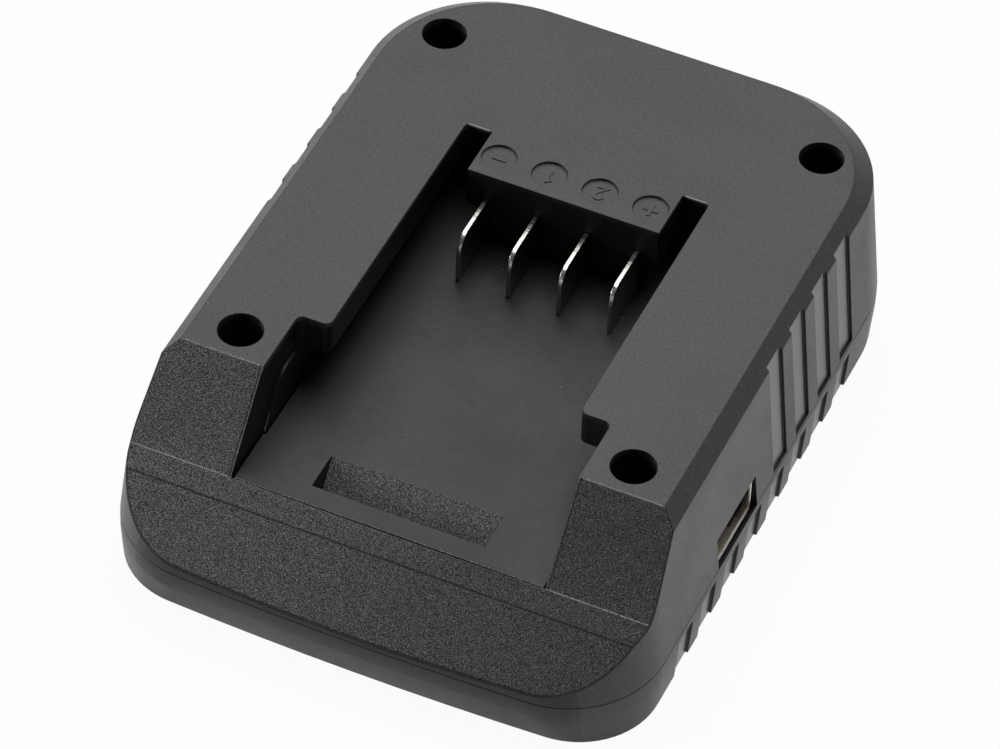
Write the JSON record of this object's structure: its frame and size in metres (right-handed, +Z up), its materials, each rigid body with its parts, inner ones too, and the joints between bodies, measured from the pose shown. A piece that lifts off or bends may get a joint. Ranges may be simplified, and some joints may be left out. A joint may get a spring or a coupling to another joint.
{
  "type": "power tool battery charger",
  "caption": "Slide-on charging adapter for a power tool battery: a grey moulded body with an undercut docking channel, upright blade contacts and a side socket.",
  "frame": {"origin": "bottom centre of the bounding box, on the resting face", "axes": "+Z up, -Y towards the sloped front where the battery slides in, +X towards the socket side"},
  "size_m": [0.08, 0.1088, 0.0302],
  "materials": {
    "housing_top": "satin moulded, grained front",
    "housing_base": "satin moulded",
    "floor_plastic": "satin moulded",
    "blade_nickel": "nickel plated",
    "carrier_plastic": "matte",
    "board_laminate": "solder mask",
    "shell_nickel": "nickel plated",
    "tongue_plastic": "satin",
    "contact_gold": "plated",
    "core_powder": "painted",
    "copper_wire": "enamelled",
    "can_aluminium": "satin, black base",
    "fuse_ceramic": "ceramic with plated caps",
    "chip_epoxy": "matte",
    "passive_ceramic": "ceramic with tinned ends",
    "screw_steel": "dark zinc"
  },
  "bodies": {
    "root": {"top_cover": "housing_top", "bottom_cover": "housing_base", "dock_floor": "floor_plastic", "blade_negative": "blade_nickel", "blade_signal_a": "blade_nickel", "blade_signal_b": "blade_nickel", "blade_positive": "blade_nickel", "contact_carrier": "carrier_plastic", "circuit_board": "board_laminate", "usb_shell": "shell_nickel", "usb_tongue": "tongue_plastic", "usb_contacts": "contact_gold", "inductor_core": "core_powder", "inductor_winding": "copper_wire", "input_capacitor": "can_aluminium", "output_capacitor": "can_aluminium", "fuse": "fuse_ceramic", "converter_chip": "chip_epoxy", "port_chip": "chip_epoxy", "catch_diode": "chip_epoxy", "board_passives": "passive_ceramic", "housing_screws": "screw_steel", "floor_screws": "screw_steel", "board_screws": "screw_steel"}
  },
  "joints": []
}
